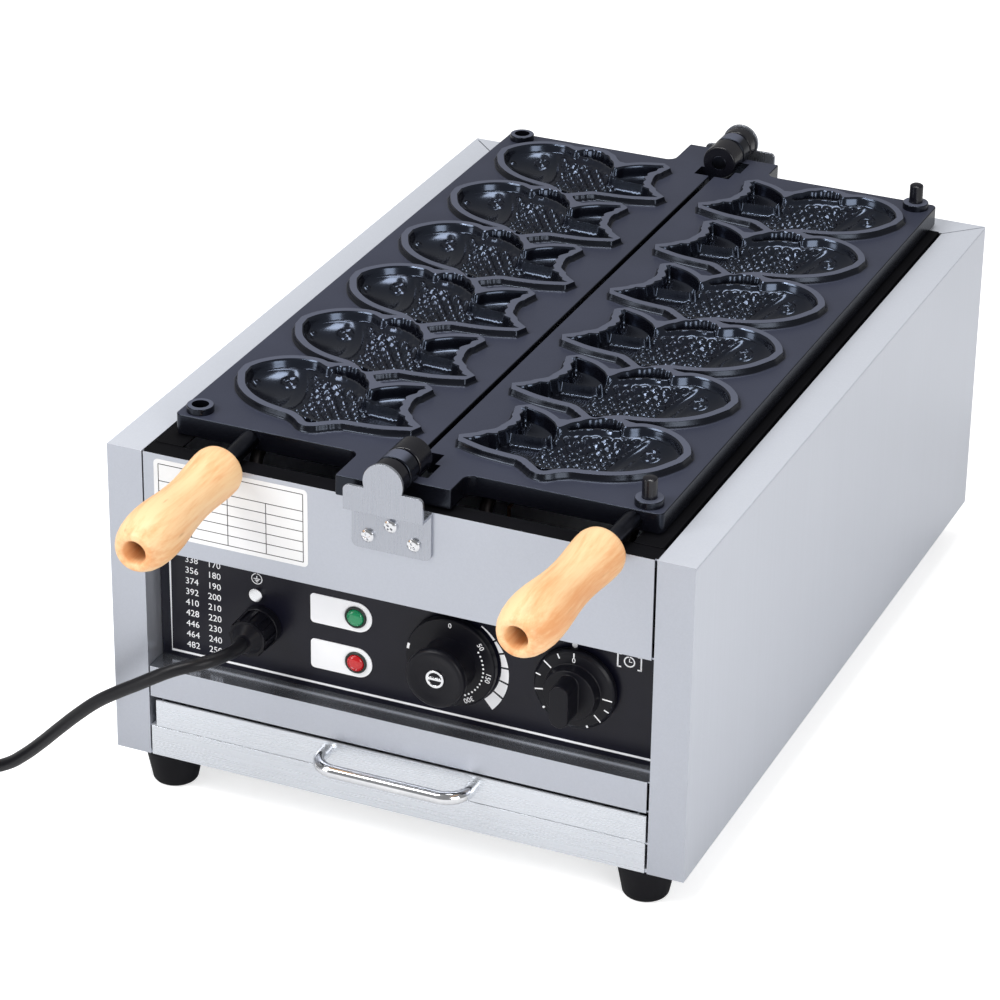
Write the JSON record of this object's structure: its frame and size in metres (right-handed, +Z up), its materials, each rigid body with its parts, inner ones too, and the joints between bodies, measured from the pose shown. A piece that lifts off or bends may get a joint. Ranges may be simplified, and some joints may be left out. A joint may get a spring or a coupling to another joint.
{
  "type": "taiyaki maker",
  "caption": "Countertop fish-cake maker: hinged cast mould plates with wooden handles on a steel casing with dials, lamps, a drip drawer and a mains cord.",
  "frame": {"origin": "centre of the footprint box on the surface that the feet stand on, without the cord", "axes": "+Y from the handles and controls to the back, +Z up, +X to the right as seen from the controls"},
  "size_m": [0.566, 0.7735, 0.26],
  "materials": {
    "stainless": "brushed",
    "bracket_steel": "satin",
    "zinc_plate": "satin",
    "chrome": "polished",
    "coated_casting": "satin non-stick coating",
    "grip_wood": "unvarnished, sanded",
    "black_panel": "satin",
    "white_print": "satin",
    "black_plastic": "satin",
    "rubber": "matt",
    "cord_rubber": "satin",
    "green_lens": "gloss",
    "red_lens": "gloss",
    "heater_steel": "oxidised",
    "ceramic": "matt",
    "copper": "satin",
    "brass": "polished"
  },
  "bodies": {
    "casing": {"left_side_panel": "stainless", "right_side_panel": "stainless", "back_panel": "stainless", "base_pan": "zinc_plate", "bottom_rail": "stainless", "front_fascia": "stainless", "recess_ledge": "stainless", "control_panel": "black_panel", "data_plate": "white_print", "plate_rails": "zinc_plate", "left_heating_element": "heater_steel", "right_heating_element": "heater_steel", "element_supports": "zinc_plate", "heat_shield": "zinc_plate", "terminal_block": "ceramic", "front_hinge_bracket": "bracket_steel", "rear_hinge_bracket": "bracket_steel", "hinge_pins": "chrome", "bracket_screws": "chrome", "rubber_feet": "rubber", "foot_screws": "zinc_plate", "drawer_runners": "zinc_plate", "power_lamp": "green_lens", "heat_lamp": "red_lens", "lamp_holders": "ceramic", "lamp_plaques": "white_print", "thermostat_body": "ceramic", "thermostat_bulb": "copper", "timer_body": "ceramic", "earth_screw": "chrome", "gland_body": "black_plastic", "gland_nut": "black_plastic", "gland_locknut": "black_plastic", "panel_screws": "zinc_plate", "power_cord": "cord_rubber", "cord_coil": "cord_rubber", "plug_body": "black_plastic", "plug_blades": "brass"},
    "left_plate": {"left_mould_plate": "coated_casting", "left_handle_rod": "chrome", "left_grip": "grip_wood", "left_grip_nut": "zinc_plate"},
    "right_plate": {"right_mould_plate": "coated_casting", "locating_pins": "chrome", "right_handle_rod": "chrome", "right_grip": "grip_wood", "right_grip_nut": "zinc_plate"},
    "drawer": {"drip_tray": "stainless", "drawer_front": "stainless", "drawer_handle": "chrome", "drawer_screws": "zinc_plate"},
    "thermostat_knob": {"thermostat_skirt": "black_plastic", "thermostat_cap": "black_plastic", "thermostat_insert": "chrome", "thermostat_shaft": "zinc_plate"},
    "timer_dial": {"timer_knob": "black_plastic", "timer_shaft": "zinc_plate"}
  },
  "joints": [
    {"name": "left_plate_hinge", "type": "hinge", "parent": "casing", "child": "left_plate", "pos_m": [0, 0.05133, 0.24745], "axis": [0, 1, 0], "range_deg": [0, 180]},
    {"name": "right_plate_hinge", "type": "hinge", "parent": "casing", "child": "right_plate", "pos_m": [0, 0.05133, 0.24745], "axis": [0, -1, 0], "range_deg": [0, 180]},
    {"name": "drawer_slide", "type": "slide", "parent": "casing", "child": "drawer", "axis": [0, -1, 0], "range_m": [0, 0.38]},
    {"name": "thermostat_turn", "type": "hinge", "parent": "casing", "child": "thermostat_knob", "pos_m": [0.0313, -0.20567, 0.127], "axis": [0, 1, 0], "range_deg": [0, 270]},
    {"name": "timer_turn", "type": "hinge", "parent": "casing", "child": "timer_dial", "pos_m": [0.109, -0.20567, 0.1275], "axis": [0, 1, 0], "range_deg": [0, 300]}
  ]
}
